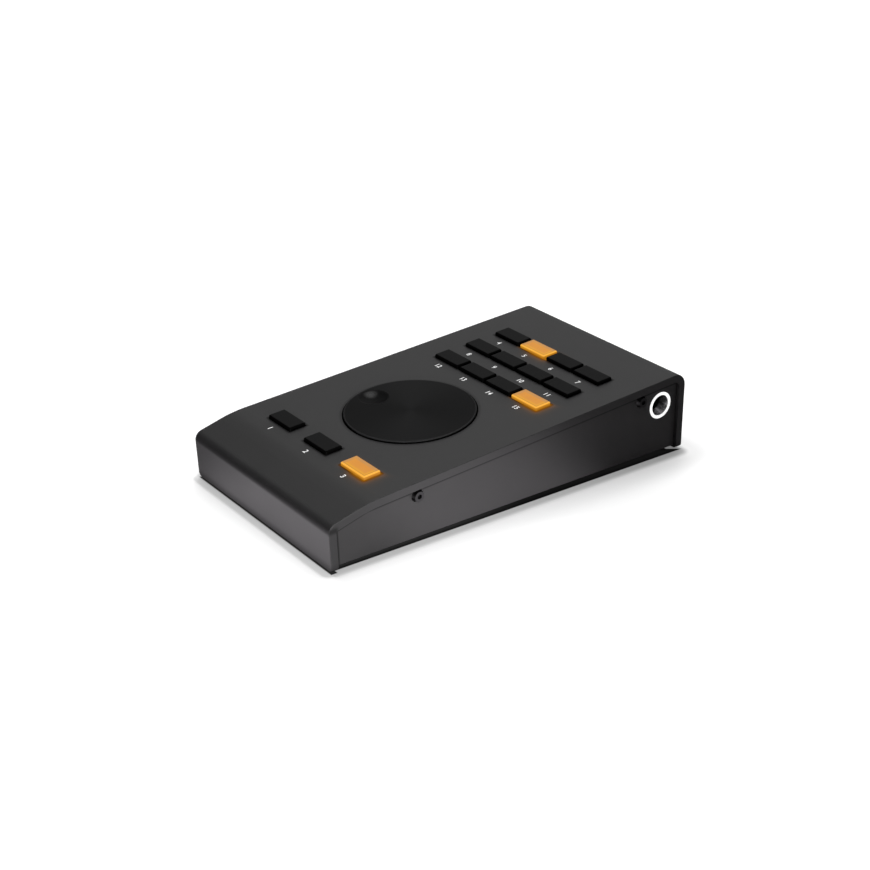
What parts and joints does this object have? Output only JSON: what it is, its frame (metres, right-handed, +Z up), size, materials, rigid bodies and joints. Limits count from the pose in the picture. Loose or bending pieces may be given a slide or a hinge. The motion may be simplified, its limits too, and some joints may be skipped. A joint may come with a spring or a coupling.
{
  "type": "audio interface remote control",
  "caption": "Desktop remote control: bent plate over a tray, big turning wheel, sprung key caps, plug jack in the right side, data inlet at the rear.",
  "frame": {"origin": "on the floor, under the middle of the case", "axes": "+X to the user's right, +Y to the rear, +Z up"},
  "size_m": [0.102, 0.1908, 0.0378],
  "materials": {
    "cover_coat": "satin dark grey coat with a fine grain",
    "tray_coat": "satin dark grey coat",
    "plated_steel": "plated",
    "dark_steel": "dark, satin",
    "foot_rubber": "matte",
    "board_laminate": "solder resist",
    "black_plastic": "moulded",
    "lamp_resin": "clear, domed",
    "wheel_anodised": "black, anodised, satin",
    "insert_brass": "turned",
    "pale_plastic": "moulded",
    "bright_metal": "bright",
    "dark_cap": "smoked, satin",
    "lit_cap": "smoked, lit from inside"
  },
  "bodies": {
    "casing": {"top_cover": "cover_coat", "base_tray": "tray_coat", "fixing_blocks": "plated_steel", "side_screws": "dark_steel", "rubber_feet": "foot_rubber", "main_board": "board_laminate", "board_pillars": "plated_steel", "board_screws": "plated_steel", "board_chips": "black_plastic", "switch_housings": "black_plastic", "key_lamps": "lamp_resin", "encoder_body": "black_plastic", "encoder_collar": "plated_steel", "inlet_shell": "plated_steel", "inlet_tongue": "black_plastic", "jack_ring": "pale_plastic", "jack_sleeve": "bright_metal", "jack_body": "black_plastic", "jack_tags": "plated_steel"},
    "big_wheel": {"wheel": "wheel_anodised", "wheel_insert": "insert_brass", "encoder_shaft": "plated_steel"},
    "key_front_1": {"cap_front_1": "dark_cap", "plunger_front_1": "pale_plastic"},
    "key_front_2": {"cap_front_2": "dark_cap", "plunger_front_2": "pale_plastic"},
    "key_front_3": {"cap_front_3": "lit_cap", "plunger_front_3": "pale_plastic"},
    "key_rear_1_1": {"cap_rear_1_1": "dark_cap", "plunger_rear_1_1": "pale_plastic"},
    "key_rear_1_2": {"cap_rear_1_2": "lit_cap", "plunger_rear_1_2": "pale_plastic"},
    "key_rear_1_3": {"cap_rear_1_3": "dark_cap", "plunger_rear_1_3": "pale_plastic"},
    "key_rear_1_4": {"cap_rear_1_4": "dark_cap", "plunger_rear_1_4": "pale_plastic"},
    "key_rear_2_1": {"cap_rear_2_1": "dark_cap", "plunger_rear_2_1": "pale_plastic"},
    "key_rear_2_2": {"cap_rear_2_2": "dark_cap", "plunger_rear_2_2": "pale_plastic"},
    "key_rear_2_3": {"cap_rear_2_3": "dark_cap", "plunger_rear_2_3": "pale_plastic"},
    "key_rear_2_4": {"cap_rear_2_4": "dark_cap", "plunger_rear_2_4": "pale_plastic"},
    "key_rear_3_1": {"cap_rear_3_1": "dark_cap", "plunger_rear_3_1": "pale_plastic"},
    "key_rear_3_2": {"cap_rear_3_2": "dark_cap", "plunger_rear_3_2": "pale_plastic"},
    "key_rear_3_3": {"cap_rear_3_3": "dark_cap", "plunger_rear_3_3": "pale_plastic"},
    "key_rear_3_4": {"cap_rear_3_4": "lit_cap", "plunger_rear_3_4": "pale_plastic"}
  },
  "joints": [
    {"name": "wheel_turn", "type": "hinge", "parent": "casing", "child": "big_wheel", "pos_m": [0, -0.01895, 0.03027], "axis": [0, -0.0698, 0.9976], "continuous": true},
    {"name": "press_front_1", "type": "slide", "parent": "casing", "child": "key_front_1", "axis": [0, 0.0698, -0.9976], "range_m": [0, 0.0005], "stiffness_N_per_m": 2400, "springref_m": -0.0002},
    {"name": "press_front_2", "type": "slide", "parent": "casing", "child": "key_front_2", "axis": [0, 0.0698, -0.9976], "range_m": [0, 0.0005], "stiffness_N_per_m": 2400, "springref_m": -0.0002},
    {"name": "press_front_3", "type": "slide", "parent": "casing", "child": "key_front_3", "axis": [0, 0.0698, -0.9976], "range_m": [0, 0.0005], "stiffness_N_per_m": 2400, "springref_m": -0.0002},
    {"name": "press_rear_1_1", "type": "slide", "parent": "casing", "child": "key_rear_1_1", "axis": [0, 0.0698, -0.9976], "range_m": [0, 0.0005], "stiffness_N_per_m": 2400, "springref_m": -0.0002},
    {"name": "press_rear_1_2", "type": "slide", "parent": "casing", "child": "key_rear_1_2", "axis": [0, 0.0698, -0.9976], "range_m": [0, 0.0005], "stiffness_N_per_m": 2400, "springref_m": -0.0002},
    {"name": "press_rear_1_3", "type": "slide", "parent": "casing", "child": "key_rear_1_3", "axis": [0, 0.0698, -0.9976], "range_m": [0, 0.0005], "stiffness_N_per_m": 2400, "springref_m": -0.0002},
    {"name": "press_rear_1_4", "type": "slide", "parent": "casing", "child": "key_rear_1_4", "axis": [0, 0.0698, -0.9976], "range_m": [0, 0.0005], "stiffness_N_per_m": 2400, "springref_m": -0.0002},
    {"name": "press_rear_2_1", "type": "slide", "parent": "casing", "child": "key_rear_2_1", "axis": [0, 0.0698, -0.9976], "range_m": [0, 0.0005], "stiffness_N_per_m": 2400, "springref_m": -0.0002},
    {"name": "press_rear_2_2", "type": "slide", "parent": "casing", "child": "key_rear_2_2", "axis": [0, 0.0698, -0.9976], "range_m": [0, 0.0005], "stiffness_N_per_m": 2400, "springref_m": -0.0002},
    {"name": "press_rear_2_3", "type": "slide", "parent": "casing", "child": "key_rear_2_3", "axis": [0, 0.0698, -0.9976], "range_m": [0, 0.0005], "stiffness_N_per_m": 2400, "springref_m": -0.0002},
    {"name": "press_rear_2_4", "type": "slide", "parent": "casing", "child": "key_rear_2_4", "axis": [0, 0.0698, -0.9976], "range_m": [0, 0.0005], "stiffness_N_per_m": 2400, "springref_m": -0.0002},
    {"name": "press_rear_3_1", "type": "slide", "parent": "casing", "child": "key_rear_3_1", "axis": [0, 0.0698, -0.9976], "range_m": [0, 0.0005], "stiffness_N_per_m": 2400, "springref_m": -0.0002},
    {"name": "press_rear_3_2", "type": "slide", "parent": "casing", "child": "key_rear_3_2", "axis": [0, 0.0698, -0.9976], "range_m": [0, 0.0005], "stiffness_N_per_m": 2400, "springref_m": -0.0002},
    {"name": "press_rear_3_3", "type": "slide", "parent": "casing", "child": "key_rear_3_3", "axis": [0, 0.0698, -0.9976], "range_m": [0, 0.0005], "stiffness_N_per_m": 2400, "springref_m": -0.0002},
    {"name": "press_rear_3_4", "type": "slide", "parent": "casing", "child": "key_rear_3_4", "axis": [0, 0.0698, -0.9976], "range_m": [0, 0.0005], "stiffness_N_per_m": 2400, "springref_m": -0.0002}
  ]
}
